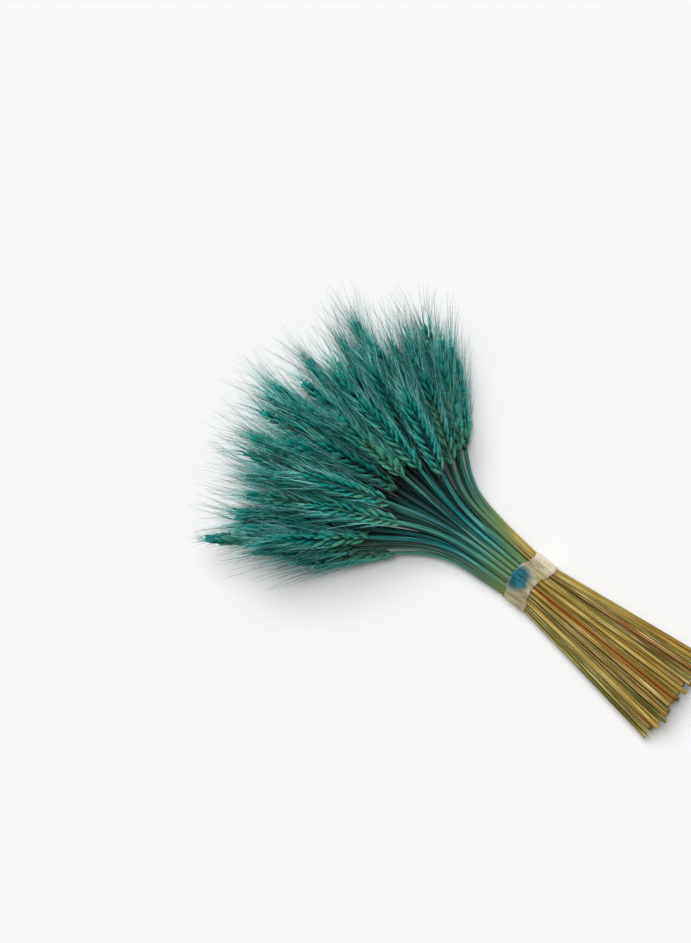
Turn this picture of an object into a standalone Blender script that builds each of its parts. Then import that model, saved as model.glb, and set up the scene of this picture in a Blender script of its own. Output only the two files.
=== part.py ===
"""A bunch of dyed bearded wheat, held by a band of clear tape and lying on a surface.

Metres, +Z up. The origin is the middle of the tape's flat underside. The ears point to +X, and the cut
ends to -X. Each stalk grew as one piece, so it is one object: its straw, the two rows of spikelets of its
ear, and its awns.
"""

import math

import bmesh
import bpy
import numpy as np
from mathutils import Matrix, Vector, geometry
from mathutils.bvhtree import BVHTree

SEED = 161
GAP = 0.0003

# The straw in the tie: rows from the lowest up, nested like round rods, and wide at the bottom as on a table
ROW_COUNTS = (8, 11, 10, 9, 8, 5)
STALK_PITCH = 0.0035
ROW_RISE = STALK_PITCH * math.sqrt(3) / 2
STRAW_SIDES = 6
STRAW_RADIUS = (STALK_PITCH - GAP) / 2
NECK_RADIUS = 0.0013
BUTT_REACH = (0.126, 0.134)

# The tape round the waist
TAPE_WIDTH = 0.018
TAPE_WALL = 0.0008
TAPE_ARC_POINTS = 16
TAPE_HELD = 0.010

# How the bunch opens: a slight flare, then a bend that starts and ends at a distance from the tie, given for
# the stalks at the -Y edge and at the +Y edge. On top it parts in the middle: so far to -Y and so far to +Y.
STATION = 0.005
STATIONS = 50
FLARE = (0.09, 0.06)
BEND_FROM = (0.050, 0.035)
BEND_TO = (0.104, 0.100)
BEND_SLOPE = (0.85, 0.58)
BUTT_FLARE = (0.14, 0.06)
LOWEST_EAR_AXIS = 0.0064
LOWEST_BUTT_AXIS = 0.0018
PARTING = (-0.004, 0.018)
WANDER, WANDER_FROM = 0.012, 0.035
SETTLE_ROUNDS = 260
SMOOTHINGS = 1
SETTLE_SPARE, SETTLE_OVER = 0.0009, 0.035
ROOM_EASES = 0.025

# The ears
EAR_FROM = 0.150
EAR_FROM_TOP = 0.035
EAR_FROM_RIGHT, RIGHT_POWER = 0.042, 2
EAR_FROM_LEFT, LEFT_POWER = 0.050, 6
EAR_FROM_SPREAD = 0.011
LONGEST_STALK, LONGEST_EAR_FROM = 18, 0.160
SPIKELETS_A_SIDE = 6
SPIKELET_PITCH = (0.0108, 0.0121)
SPIKELET_LENGTH = 0.0130
SPIKELET_LEAN = math.radians(19)
SPIKELET_BULGE_AT = 0.40
SPIKELET_FOOT_AT = 0.62
SPIKELET_BACK = 0.0021
SPIKELET_BELLY = 0.0011
SPIKELET_HALF_WIDE = 0.0034
SPIKELET_SIZES = (0.90, 0.96, 1.0, 1.0, 0.97, 0.90)
EAR_RADIUS = 0.0056

# The awns
AWN_ROOT = 0.00035
AWN_PAST_TIP = (0.018, 0.034)
AWN_LEAN = (math.radians(6), math.radians(17))
AWN_TURN = 1.1
AWN_TRIES = 200
AWN_SPARE = 0.0005
AWN_OFF_OWN_EAR = 0.0007

DYED = (0.010, 0.205, 0.180, 1.0)
STRAW = (0.560, 0.440, 0.150, 1.0)
TAPE = (0.800, 0.760, 0.640, 1.0)
DYE_FROM = 0.012


def clear_scene():
    for obj in list(bpy.data.objects):
        bpy.data.objects.remove(obj)


def bent(x, start, end):
    """How far a line has turned away at x, for a slope that rises smoothly from 0 to 1 over the bend."""
    t = np.clip((x - start) / (end - start), 0, None)
    within = np.minimum(t, 1)
    return (end - start) * (within**3 - within**4 / 2 + np.maximum(t - 1, 0))


def tie_places():
    """(y, z) of each stalk's axis inside the tape, the lowest row first."""
    lowest = TAPE_WALL + GAP + STRAW_RADIUS
    return [
        ((k - (count - 1) / 2) * STALK_PITCH, lowest + row * ROW_RISE)
        for row, count in enumerate(ROW_COUNTS)
        for k in range(count)
    ]


def spread(place, x):
    """(y, z) at x of the stalk that the tie holds at place, before stalks move apart."""
    y, z = place
    lowest = TAPE_WALL + GAP + STRAW_RADIUS
    widest = (max(ROW_COUNTS) - 1) / 2 * STALK_PITCH
    tallest = (len(ROW_COUNTS) - 1) * ROW_RISE
    free = np.maximum(np.abs(x) - TAPE_HELD, 0)
    edge = (1 + y / widest) / 2
    start, end = ((1 - edge) * right + edge * left for right, left in (BEND_FROM, BEND_TO))
    opened = np.where(x > 0, bent(x, start, end), 0)
    flare = np.where(x > 0, FLARE[0], BUTT_FLARE[0]), np.where(x > 0, FLARE[1], BUTT_FLARE[1])
    wide = widest + flare[0] * free + BEND_SLOPE[0] * opened
    tall = tallest + flare[1] * free + BEND_SLOPE[1] * opened
    base = np.where(
        x > 0,
        lowest + (LOWEST_EAR_AXIS - lowest) * np.clip(free / EAR_FROM, 0, 1),
        lowest + (LOWEST_BUTT_AXIS - lowest) * np.clip(free / BUTT_REACH[0], 0, 1),
    )
    return np.stack([y / widest * wide, base + (z - lowest) / tallest * tall], axis=-1)


def along(points):
    """The distance of each point from the first, along the line through them."""
    return np.concatenate([[0], np.cumsum(np.linalg.norm(np.diff(points, axis=0), axis=1))])


def eased(t):
    """0 to 1 with no kink at either end."""
    t = np.clip(t, 0, 1)
    return t * t * (3 - 2 * t)


def straw_radius(share):
    """The radius of a straw this share of the way from the tie to its ear."""
    return STRAW_RADIUS + (NECK_RADIUS - STRAW_RADIUS) * np.clip(share, 0, 1) ** 2


def room_needed(x, path, ear_from, ear_length):
    """The radius that a stalk takes up in the plane at each x: straw, ear, then the foot of the awns."""
    arc = along(np.column_stack([x, path]))
    slope = np.linalg.norm(np.gradient(path, x, axis=0), axis=1)
    straw = straw_radius(arc / ear_from)
    swell = eased((arc - ear_from) / ROOM_EASES + 0.8)
    shrink = eased((arc - ear_from - ear_length) / AWN_PAST_TIP[1])
    return (straw + (EAR_RADIUS - straw) * swell) * (1 - shrink) * np.sqrt(1 + slope**2 / 2)


def settled(x, wished, rooms):
    """Paths close to the wished ones that keep clear of each other and of the surface."""
    free = np.clip((x - TAPE_HELD) / SETTLE_OVER, 0, 1)[None, :, None]
    spare = SETTLE_SPARE * free[0, :, 0]
    shift = np.zeros_like(wished)
    need = rooms[:, None, :] + rooms[None, :, :] + spare
    felt = np.clip(rooms / STRAW_RADIUS, 0, 1)
    need *= felt[:, None, :] * felt[None, :, :]
    need[np.arange(len(rooms)), np.arange(len(rooms))] = 0
    for _ in range(SETTLE_ROUNDS):
        paths = wished + shift
        apart = paths[:, None] - paths[None, :]
        distance = np.maximum(np.linalg.norm(apart, axis=-1), 1e-6)
        short = np.maximum(need - distance, 0) / distance
        shift += 0.45 * (apart * short[..., None]).sum(axis=1)
        shift[..., 1] += np.maximum(rooms - (wished + shift)[..., 1], 0)
        for _ in range(SMOOTHINGS):
            shift[:, 1:-1] = (shift[:, :-2] + 2 * shift[:, 1:-1] + shift[:, 2:]) / 4
            shift[:, -1] = 2 * shift[:, -2] - shift[:, -3]
        shift *= free * 0.998
    return wished + shift


class Stalk:
    """One stalk: the line of its axis from cut end to tip, and where its ear stands on that line."""

    def __init__(self, number, place, path, ear_from, pitch, roll, butt):
        foot = [np.array([x, *spread(place, np.float64(x))]) for x in (-butt, -TAPE_HELD)]
        self.name = f"stalk_{number:02d}"
        self.path = np.vstack([foot, path])
        self.arcs = along(self.path)
        self.roll = roll
        self.pitch = pitch
        self.tie_arc = np.interp(0, self.path[:, 0], self.arcs)
        self.ear_from = self.tie_arc + ear_from
        self.ear_to = self.ear_from + SPIKELETS_A_SIDE * pitch
        self.tip = self.ear_to + SPIKELET_LENGTH
        self.spikelets = []

    def point(self, arc):
        return Vector([np.interp(arc, self.arcs, self.path[:, axis]) for axis in range(3)])

    def axes(self, arc):
        """The ear's own directions: across towards its two rows, its flat face, and on along the stalk."""
        step = STATION
        forward = (self.point(arc + step) - self.point(arc - step)).normalized()
        level = forward.cross(Vector((0, 0, 1))).normalized()
        upright = level.cross(forward)
        across = math.cos(self.roll) * level + math.sin(self.roll) * upright
        return across, forward.cross(across), forward

    def radius(self, arc):
        return straw_radius((arc - self.tie_arc) / (self.ear_from - self.tie_arc))

    def section(self, arc, slant=0.0):
        """The matrix that places a unit ring round the stalk. slant tips it along, for staggered rows."""
        across, face, forward = self.axes(arc)
        radius = self.radius(arc)
        placed = Matrix.Identity(4)
        placed.col[0] = (*(radius * across + slant * forward), 0)
        placed.col[1] = (*(radius * face), 0)
        placed.col[2] = (*(radius * forward), 0)
        placed.col[3] = (*self.point(arc), 1)
        return placed

    def stem_arcs(self):
        """Where the straw has its rings: at its ends, on both sides of the tape and where it bends."""
        held = [self.tie_arc - TAPE_HELD, self.tie_arc + TAPE_HELD]
        return [0, *held, *np.linspace(held[1], self.ear_from, 6)[1:]]


class Spikelet:
    """A pod on one side of an ear, leaning forward, and the awn that may stand on its tip."""

    def __init__(self, stalk, arc, side, size, bearded):
        across, self.face, self.forward = stalk.axes(arc)
        self.outward = side * across
        self.arc = arc
        self.size = size
        self.bearded = bearded
        self.foot = stalk.point(arc) + self.outward * stalk.radius(arc)
        self.axis = math.cos(SPIKELET_LEAN) * self.forward + math.sin(SPIKELET_LEAN) * self.outward
        self.back = math.cos(SPIKELET_LEAN) * self.outward - math.sin(SPIKELET_LEAN) * self.forward
        self.tip = self.foot + self.axis * SPIKELET_LENGTH * size
        self.awn_end = None

    def corner(self, share, back, wide):
        """A point beside the pod's axis: this share of the way up it, and so far out and across."""
        middle = self.foot + self.axis * SPIKELET_LENGTH * self.size * share
        return middle + self.back * back + self.face * wide


def plant(draw):
    """Every stalk, with its path settled among the others."""
    x = np.arange(STATIONS) * STATION
    places = tie_places()
    side = max(abs(y) for y, _ in places)
    lowest, highest = places[0][1], places[-1][1]
    froms, pitches, wished, rooms = [], [], [], []
    for y, z in places:
        top, edge = (z - lowest) / (highest - lowest), y / side
        shorter = EAR_FROM_TOP * top + EAR_FROM_SPREAD * draw.uniform(-1, 1)
        if edge < 0:
            shorter += EAR_FROM_RIGHT * (-edge) ** RIGHT_POWER
        else:
            shorter += EAR_FROM_LEFT * edge**LEFT_POWER
        froms.append(LONGEST_EAR_FROM if len(froms) + 1 == LONGEST_STALK else EAR_FROM - shorter)
        pitches.append(draw.uniform(*SPIKELET_PITCH))
        heading = draw.uniform(0, 2 * math.pi)
        grown = eased((x - WANDER_FROM) / (x[-1] - WANDER_FROM))
        wander = WANDER * math.sqrt(draw.uniform())
        parted = PARTING[1 if y > 0 else 0] * top**3
        offset = grown[:, None] * (parted + wander * math.cos(heading), wander * math.sin(heading))
        wished.append(spread((y, z), x) + offset)
        ear_length = SPIKELETS_A_SIDE * pitches[-1] + SPIKELET_LENGTH
        rooms.append(room_needed(x, wished[-1], froms[-1], ear_length))
    paths = settled(x, np.array(wished), np.array(rooms))
    return [
        Stalk(
            number + 1,
            place,
            np.column_stack([x, paths[number]]),
            froms[number],
            pitches[number],
            draw.uniform(0, math.pi),
            draw.uniform(*BUTT_REACH),
        )
        for number, place in enumerate(places)
    ]


def nearest(a, b, starts, ends):
    """The least distance between the segment a to b and each of many segments, by sampling the first."""
    samples = a + (b - a) * np.linspace(0, 1, 40)[:, None]
    runs = ends - starts
    lengths = np.maximum((runs**2).sum(axis=1), 1e-12)
    share = np.clip(((samples[:, None] - starts) * runs).sum(axis=2) / lengths, 0, 1)
    gaps = np.linalg.norm(samples[:, None] - (starts + share[..., None] * runs), axis=2)
    return gaps.min(axis=0)


def capsules(stalk):
    """(starts, ends, radii) of the rods that a stalk's straw and ear fit in."""
    arcs = [*stalk.stem_arcs(), *np.linspace(stalk.ear_from, stalk.tip, 5)[1:]]
    points = np.array([stalk.point(arc) for arc in arcs])
    radii = np.where(np.array(arcs[1:]) > stalk.ear_from + 1e-6, EAR_RADIUS, STRAW_RADIUS)
    return points[:-1], points[1:], radii


def meets(ear, root, end, spikelet):
    """Whether an awn would pass through the ear that it stands on."""
    run = end - root
    ahead = root + run.normalized() * 2 * AWN_OFF_OWN_EAR
    sides = [spikelet.outward, -spikelet.outward, spikelet.face, -spikelet.face, Vector()]
    return any(ear.ray_cast(ahead + side * AWN_OFF_OWN_EAR, run, run.length)[0] for side in sides)


def grow_awns(stalks, draw):
    """Gives spikelets their awns, bent clear of the other stalks, of the awns so far and of the surface."""
    rods = [capsules(stalk) for stalk in stalks]
    owner = np.concatenate([[k] * len(rod[0]) for k, rod in enumerate(rods)])
    starts, ends = np.vstack([rod[0] for rod in rods]), np.vstack([rod[1] for rod in rods])
    radii = np.concatenate([rod[2] for rod in rods])
    awn_starts, awn_ends = [], []
    for k, stalk in enumerate(stalks):
        others = owner != k
        shape = stalk_shape(stalk)
        ear = BVHTree.FromBMesh(shape)
        shape.free()
        for spikelet in stalk.spikelets:
            if not spikelet.bearded:
                continue
            root = np.array(spikelet.tip)
            left = stalk.tip - spikelet.arc
            for _ in range(AWN_TRIES):
                length = left + draw.uniform(*AWN_PAST_TIP) - SPIKELET_LENGTH
                lean = draw.uniform(*AWN_LEAN)
                turn = draw.uniform(-AWN_TURN, AWN_TURN)
                aside = math.cos(turn) * spikelet.outward + math.sin(turn) * spikelet.face
                end = root + length * np.array(math.cos(lean) * spikelet.forward + math.sin(lean) * aside)
                if end[2] < AWN_ROOT:
                    continue
                if (nearest(root, end, starts[others], ends[others]) < radii[others] + AWN_SPARE).any():
                    continue
                if meets(ear, Vector(root), Vector(end), spikelet):
                    continue
                if awn_starts:
                    gaps = nearest(root, end, np.array(awn_starts), np.array(awn_ends))
                    if gaps.min() < 2 * AWN_ROOT + AWN_SPARE:
                        continue
                spikelet.awn_end = Vector(end)
                awn_starts.append(root)
                awn_ends.append(end)
                break


def set_spikelets(stalk):
    """Lists the spikelets of an ear: pairs in two rows, one row half a pitch ahead, and one at the tip."""
    for k, size in enumerate(SPIKELET_SIZES):
        for side in (1, -1):
            arc = stalk.ear_from + (k + SPIKELET_FOOT_AT + side / 4) * stalk.pitch
            stalk.spikelets.append(Spikelet(stalk, arc, side, size, k % 2 == 1))


def extruded(bm, face):
    return bmesh.ops.extrude_discrete_faces(bm, faces=[face])["faces"][0]


def grow_spikelet(bm, face, spikelet):
    """Draws a side face of the ear's core out into a pod, and on into an awn where it has one."""
    foot = face.calc_center_median()
    corners = [
        (
            math.copysign(1, (foot - v.co).dot(spikelet.forward)),
            math.copysign(1, (v.co - foot).dot(spikelet.face)),
        )
        for v in face.verts
    ]
    size = spikelet.size
    rings = [(SPIKELET_BULGE_AT, SPIKELET_BACK * size, SPIKELET_BELLY * size, SPIKELET_HALF_WIDE * size)]
    if spikelet.awn_end:
        rings.append((1.0, AWN_ROOT, AWN_ROOT, AWN_ROOT))
    for share, back, belly, half_wide in rings:
        face = extruded(bm, face)
        for vert, (outer, wide) in zip(face.verts, corners):
            vert.co = spikelet.corner(share, back if outer > 0 else -belly, wide * half_wide)
    peak = bmesh.ops.poke(bm, faces=[face])["verts"][0]
    peak.co = spikelet.awn_end or spikelet.tip


def side_face(cap, outward):
    """Of the side faces that meet a newly drawn cap, the one that looks most towards outward."""
    sides = [face for edge in cap.edges for face in edge.link_faces if face is not cap]
    for face in sides:
        face.normal_update()
    return max(sides, key=lambda face: face.normal.dot(outward))


def stalk_shape(stalk):
    """A straw drawn out ring by ring from a short rod, then the spikelets drawn out of its top."""
    bm = bmesh.new()
    stem = stalk.stem_arcs()
    first, second = stalk.section(stem[0]), stalk.section(stem[1])
    rod = bmesh.ops.create_cone(bm, cap_ends=True, segments=STRAW_SIDES, radius1=1, radius2=1, depth=1)
    for vert in rod["verts"]:
        placed = second if vert.co.z > 0 else first
        vert.co.z = 0
        vert.co = placed @ vert.co
    bm.normal_update()
    caps = [face for face in bm.faces if len(face.verts) == STRAW_SIDES]
    cap = max(caps, key=lambda face: face.calc_center_median().x)
    at = second
    for arc in stem[2:]:
        cap, at = drawn_on(bm, cap, at, stalk.section(arc, stalk.pitch / 4 if arc == stem[-1] else 0))
    beds = []
    for k in range(SPIKELETS_A_SIDE):
        arc = stalk.ear_from + (k + 1) * stalk.pitch
        cap, at = drawn_on(bm, cap, at, stalk.section(arc, stalk.pitch / 4))
        for spikelet in stalk.spikelets[2 * k : 2 * k + 2]:
            beds.append((side_face(cap, spikelet.outward), spikelet))
    for face, spikelet in beds:
        grow_spikelet(bm, face, spikelet)
    grow_tip(bm, cap, stalk)
    return bm


def drawn_on(bm, cap, at, to):
    """Extrudes a cap and carries it from one section of the stalk to the next."""
    cap = extruded(bm, cap)
    bmesh.ops.transform(bm, matrix=to @ at.inverted(), verts=cap.verts)
    return cap, to


def grow_tip(bm, cap, stalk):
    """The spikelet that ends the ear."""
    across, face, forward = stalk.axes(stalk.ear_to)
    centre = stalk.point(stalk.ear_to)
    size = SPIKELET_SIZES[-1]
    cap = extruded(bm, cap)
    for vert in cap.verts:
        aside = vert.co - centre
        vert.co = (
            centre
            + forward * SPIKELET_BULGE_AT * SPIKELET_LENGTH
            + across * aside.dot(across) / NECK_RADIUS * SPIKELET_BELLY * size
            + face * aside.dot(face) / NECK_RADIUS * SPIKELET_HALF_WIDE * size * 0.7
        )
    peak = bmesh.ops.poke(bm, faces=[cap])["verts"][0]
    peak.co = centre + forward * SPIKELET_LENGTH


def material(name, colour, roughness):
    made = bpy.data.materials.new(name)
    made.use_nodes = True
    shader = made.node_tree.nodes["Principled BSDF"]
    shader.inputs["Base Color"].default_value = colour
    shader.inputs["Roughness"].default_value = roughness
    shader.inputs["Metallic"].default_value = 0.0
    made.diffuse_color = colour
    return made


def build_stalk(stalk, collection, dyed, bare):
    """The stalk's object: dyed above the tie, bare straw below it."""
    shape = stalk_shape(stalk)
    mesh = bpy.data.meshes.new(stalk.name)
    shape.to_mesh(mesh)
    shape.free()
    mesh.materials.append(dyed)
    mesh.materials.append(bare)
    for face in mesh.polygons:
        face.material_index = 0 if face.center.x > DYE_FROM else 1
    mesh.shade_smooth()
    mesh.set_sharp_from_angle(angle=math.radians(40))
    collection.objects.link(bpy.data.objects.new(stalk.name, mesh))


def outline(radius):
    """The tight line round every stalk in the tie, at this distance from their axes, as (y, z) points."""
    turns = [2 * math.pi * (k + 0.5) / TAPE_ARC_POINTS for k in range(TAPE_ARC_POINTS)]
    reach = radius / math.cos(math.pi / TAPE_ARC_POINTS)
    points = [
        Vector((y + reach * math.cos(turn), z + reach * math.sin(turn)))
        for y, z in tie_places()
        for turn in turns
    ]
    return [points[k] for k in geometry.convex_hull_2d(points)]


def build_tape(collection, tape):
    """The band: a flat outline with a hole in it, as thick as the tape is wide, stood across the bunch."""
    flat = bpy.data.curves.new("tape_tie", "CURVE")
    flat.dimensions = "2D"
    flat.fill_mode = "BOTH"
    flat.extrude = TAPE_WIDTH / 2
    inner = STRAW_RADIUS + GAP
    for radius in (inner + TAPE_WALL, inner):
        line = flat.splines.new("POLY")
        points = outline(radius)
        line.points.add(len(points) - 1)
        for point, (y, z) in zip(line.points, points):
            point.co = (y, z, 0, 1)
        line.use_cyclic_u = True
    flat.materials.append(tape)
    band = bpy.data.objects.new("tape_tie", flat)
    band.rotation_euler = (math.pi / 2, 0, math.pi / 2)
    collection.objects.link(band)


def main():
    clear_scene()
    draw = np.random.RandomState(SEED)
    collection = bpy.data.collections.new("wheat_bunch")
    bpy.context.scene.collection.children.link(collection)
    stalks = plant(draw)
    for stalk in stalks:
        set_spikelets(stalk)
    grow_awns(stalks, draw)
    dyed, bare = material("teal_dye", DYED, 0.65), material("bare_straw", STRAW, 0.5)
    for stalk in stalks:
        build_stalk(stalk, collection, dyed, bare)
    build_tape(collection, material("clear_tape", TAPE, 0.3))


main()
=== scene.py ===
"""The looks of a bunch of dyed bearded wheat that a band of clear tape holds together.

Metres, +Z up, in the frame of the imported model: the ears point to +X and the cut ends to -X. Each stalk is
planted by the rule of the solids, and then dressed: a hollow straw, the husks of its ear and its awns.
"""

import math

import bmesh
import bpy
import numpy as np
from mathutils import Matrix, Vector, geometry


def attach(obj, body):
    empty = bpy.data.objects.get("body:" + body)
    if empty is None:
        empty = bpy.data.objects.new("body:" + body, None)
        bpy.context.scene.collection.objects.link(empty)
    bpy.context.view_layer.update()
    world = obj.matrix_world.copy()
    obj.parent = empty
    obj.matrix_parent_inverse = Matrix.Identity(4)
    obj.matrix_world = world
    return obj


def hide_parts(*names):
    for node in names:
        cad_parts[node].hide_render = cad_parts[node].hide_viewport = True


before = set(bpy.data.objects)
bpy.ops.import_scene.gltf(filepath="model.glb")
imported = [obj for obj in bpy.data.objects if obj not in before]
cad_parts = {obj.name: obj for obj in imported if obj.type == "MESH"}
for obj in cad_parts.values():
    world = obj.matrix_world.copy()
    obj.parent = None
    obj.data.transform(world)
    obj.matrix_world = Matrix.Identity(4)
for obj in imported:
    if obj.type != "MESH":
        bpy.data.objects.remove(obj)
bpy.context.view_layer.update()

# How the stalks stand in the tie, as in the solids: rows from the lowest up, nested like round rods
SEED = 161
GAP = 0.0003
ROW_COUNTS = (8, 11, 10, 9, 8, 5)
STALK_PITCH = 0.0035
ROW_RISE = STALK_PITCH * math.sqrt(3) / 2
STRAW_RADIUS = (STALK_PITCH - GAP) / 2
NECK_RADIUS = 0.0013
BUTT_REACH = (0.126, 0.134)
TAPE_WIDTH = 0.018
TAPE_WALL = 0.0008
TAPE_HELD = 0.010
TIE_LOWEST = TAPE_WALL + GAP + STRAW_RADIUS
TIE_TALL = (len(ROW_COUNTS) - 1) * ROW_RISE
TIE_SIDE = (max(ROW_COUNTS) - 1) / 2 * STALK_PITCH

# How the bunch opens: a slight flare, then a bend that starts and ends at a distance from the tie, given for
# the stalks at the -Y edge and at the +Y edge. On top it parts in the middle: so far to -Y and so far to +Y.
STATION = 0.005
STATIONS = 50
FLARE = (0.09, 0.06)
BEND_FROM = (0.050, 0.035)
BEND_TO = (0.104, 0.100)
BEND_SLOPE = (0.85, 0.58)
BUTT_FLARE = (0.14, 0.06)
LOWEST_EAR_AXIS = 0.0064
LOWEST_BUTT_AXIS = 0.0018
PARTING = (-0.004, 0.018)
WANDER, WANDER_FROM = 0.012, 0.035
SETTLE_ROUNDS = 260
SETTLE_PUSH, SETTLE_FADE = 0.45, 0.998
SETTLE_SPARE, SETTLE_OVER = 0.0009, 0.035
ROOM_EASES, ROOM_AHEAD = 0.025, 0.8

# The ears: how far from the tie they start, which is less on top and at the two edges, and their size
EAR_FROM = 0.150
EAR_FROM_TOP = 0.035
EAR_FROM_RIGHT, RIGHT_POWER = 0.042, 2
EAR_FROM_LEFT, LEFT_POWER = 0.050, 6
EAR_FROM_SPREAD = 0.011
LONGEST_STALK, LONGEST_EAR_FROM = 18, 0.160
SPIKELETS_A_SIDE = 6
SPIKELET_PITCH = (0.0108, 0.0121)
SPIKELET_LENGTH = 0.0130
EAR_RADIUS = 0.0056
AWN_PAST_TIP = 0.034

# The finer straw, which goes on getting thinner inside the ear
STRAW_SIDES = 10
STRAW_WALL = 0.0005
HOLLOW_DEPTH = 0.006
THINNER_IN_EAR = 0.6

# The spikelets: where they stand, in steps up the ear, how they twist, and their size from foot to tip
SPIKELETS = 19
SPIKELET_KINDS = 3
FIRST_SPIKELET = 0.35
SPIKELET_TWIST = (0.15, 0.10, 0.30)
TIP_CLOSES, CLOSES_LATE = -0.34, 7.0
END_SIZE, MIDDLE_GROWTH, FULLEST = 0.74, 0.30, 0.8
SIZE_VARIES = (0.88, 1.10)

# The husks: rings as shares of the length and of the full width, the grooves between their ribs, the flatter
# side towards the ear, and how much one differs from the next in size and, in degrees, in its leans
HUSK_SIDES = 8
HUSK_RINGS = ((0.0, 0.38), (0.13, 0.78), (0.34, 1.0), (0.58, 0.90), (0.80, 0.55), (0.94, 0.22))
HUSK_GROOVE = 0.91
HUSK_FLATTER = 0.55
HUSK_GROWN = (0.88, 1.08)
HUSK_LEANS_OUT, HUSK_LEANS_ASIDE = 5, 6

# Each husk of a spikelet: foot (x, y, z), length, half width, half thickness in mm, and its leans in degrees
MM_A_METRE = 1000
HUSKS = (
    ((0.2, 1.2, 0.0), 8.4, 1.7, 1.3, 15, 19),
    ((0.2, -1.2, 0.0), 8.4, 1.7, 1.3, 15, -19),
    ((0.8, 1.0, 1.2), 10.8, 2.0, 1.6, 18, 12),
    ((0.8, -1.0, 1.6), 10.8, 2.0, 1.6, 18, -12),
    ((1.5, 0.0, 3.2), 9.4, 1.8, 1.4, 13, 0),
)

# The awns: three bends as bow and wave, lengths at the foot and at the tip of the ear, and radii as shares
AWNS_A_SPIKELET = 9
AWN_SIDES = 3
AWN_SEGMENTS = 5
AWN_BENDS = ((0.03, 0.004), (0.07, -0.006), (0.11, 0.008))
AWN_WAVES = 6
AWN_LENGTHS = (0.055, 0.033)
LONGEST_AWNED = 0.45
AWN_ROOT_SHARE, AWN_TIP_SHARE = 0.0048, 0.0009
AWN_STOUTNESS = 0.050

# Where awns stand on a spikelet, how they fan out, and how few of them grow long
AWN_FOOT_OUT, AWN_FOOT_ASIDE, AWN_FOOT_UP = 0.0038, 0.0028, 0.0112
AWN_OUTWARD = (0.02, 0.26)
AWN_FANS = (0.02, 0.22)
AWN_STRAYS = 0.07
AWN_SPIN = 1.4
SHORTER_FROM = (0.45, 1.0)
SHORTEST_AWN, AWN_GAINS, FEW_GAIN = 0.35, 0.73, 4.8
FLOOR_CLEARANCE = 0.0003

# The seeds of the stalks' random values: drawn from this many, and so far apart, as one stalk uses several
SEEDS, SEEDS_APART = 100000, 20

# The tape: steps round the straws, turns, columns across, and how it sinks, ripples and sits askew.
# The waves are counted once round: of its ripples, of finer ones that are less deep, and of its ragged edges.
TAPE_STEPS = 240
TAPE_TURNS = 1.16
TAPE_STARTS = TAPE_STEPS // 5
TAPE_COLUMNS = 10
TAPE_CORNERS = 48
TAPE_THICK = 0.00012
TAPE_SINK = 0.00045
TAPE_RIPPLE, FINER_SHARE = 0.00005, 0.7
TAPE_RAGGED = 0.00022
WAVES, FINER_WAVES, EDGE_WAVES = 9, 23, 11
TAPE_ASKEW, TAPE_ASKEW_AT, TAPE_ASKEW_REACH = 0.0058, 0.002, 0.012

# Where along +X the painted shade on deep stalks fades out towards the ears' tips, and where the painted
# shade in the gaps between the straws is darkest
UNSHADED_TIPS = (0.135, 0.215)
SHADED_HOLLOWS = (0.085, 0.125)

# The photograph's frame
IMAGE = (691, 943)
PIXEL = 0.0007
TIE_PIXEL = (530.6, 582.2)
TIE_HEIGHT = 0.011
IMAGE_TURN = math.radians(141.5)
LENS = 110

# The studio
FLOOR_REACH = 12.0
FLOOR_COLOUR = (0.92, 0.92, 0.92, 1)
WORLD_LIGHT = 0.27
KEY_LIGHT, KEY_SIZE = 2.74, math.radians(46)
KEY_FROM = (0.50, -0.22, 1.0)


def linear(red, green, blue):
    """A colour given as it shows on a screen, from 0 to 255."""
    channels = [c / 255 for c in (red, green, blue)]
    return (*[c / 12.92 if c <= 0.04045 else ((c + 0.055) / 1.055) ** 2.4 for c in channels], 1.0)


# Node trees written as expressions


class Socket:
    """An output of a node, which adds the nodes of an expression when it is used in one."""

    def __init__(self, graph, socket):
        self.graph = graph
        self.socket = socket
        self.is_vector = socket.type == "VECTOR"

    def other(self, name):
        """Another output of the same node."""
        return Socket(self.graph, self.socket.node.outputs[name])

    def joined(self, operation, first, second):
        """A sum, difference, product or quotient of two values, as vectors where either is one."""
        vector = any(isinstance(v, tuple) or getattr(v, "is_vector", False) for v in (first, second))
        kind = "ShaderNodeVectorMath" if vector else "ShaderNodeMath"
        return self.graph.add(kind, {"operation": operation}, {0: first, 1: second})

    def __add__(self, other):
        return self.joined("ADD", self, other)

    def __radd__(self, other):
        return self.joined("ADD", other, self)

    def __sub__(self, other):
        return self.joined("SUBTRACT", self, other)

    def __rsub__(self, other):
        return self.joined("SUBTRACT", other, self)

    def __mul__(self, other):
        if self.is_vector and not isinstance(other, tuple) and not getattr(other, "is_vector", False):
            return self.graph.add("ShaderNodeVectorMath", {"operation": "SCALE"}, {0: self, 1: other})
        return self.joined("MULTIPLY", self, other)

    __rmul__ = __mul__

    def __truediv__(self, other):
        return self.joined("DIVIDE", self, other)

    def math(self, operation, *values):
        """A one-word Math operation on this value, such as SINE or POWER."""
        return self.graph.add("ShaderNodeMath", {"operation": operation}, dict(enumerate([self, *values])))

    def vector(self, operation, *values):
        """A Vector Math operation on this vector, such as NORMALIZE or CROSS_PRODUCT."""
        settings = {"operation": operation}
        return self.graph.add("ShaderNodeVectorMath", settings, dict(enumerate([self, *values])))

    def eased(self, low, high):
        """0 below low and 1 above high, with no kink."""
        ends = {"Value": self, "From Min": low, "From Max": high}
        return self.graph.add("ShaderNodeMapRange", {"interpolation_type": "SMOOTHSTEP"}, ends)


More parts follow.
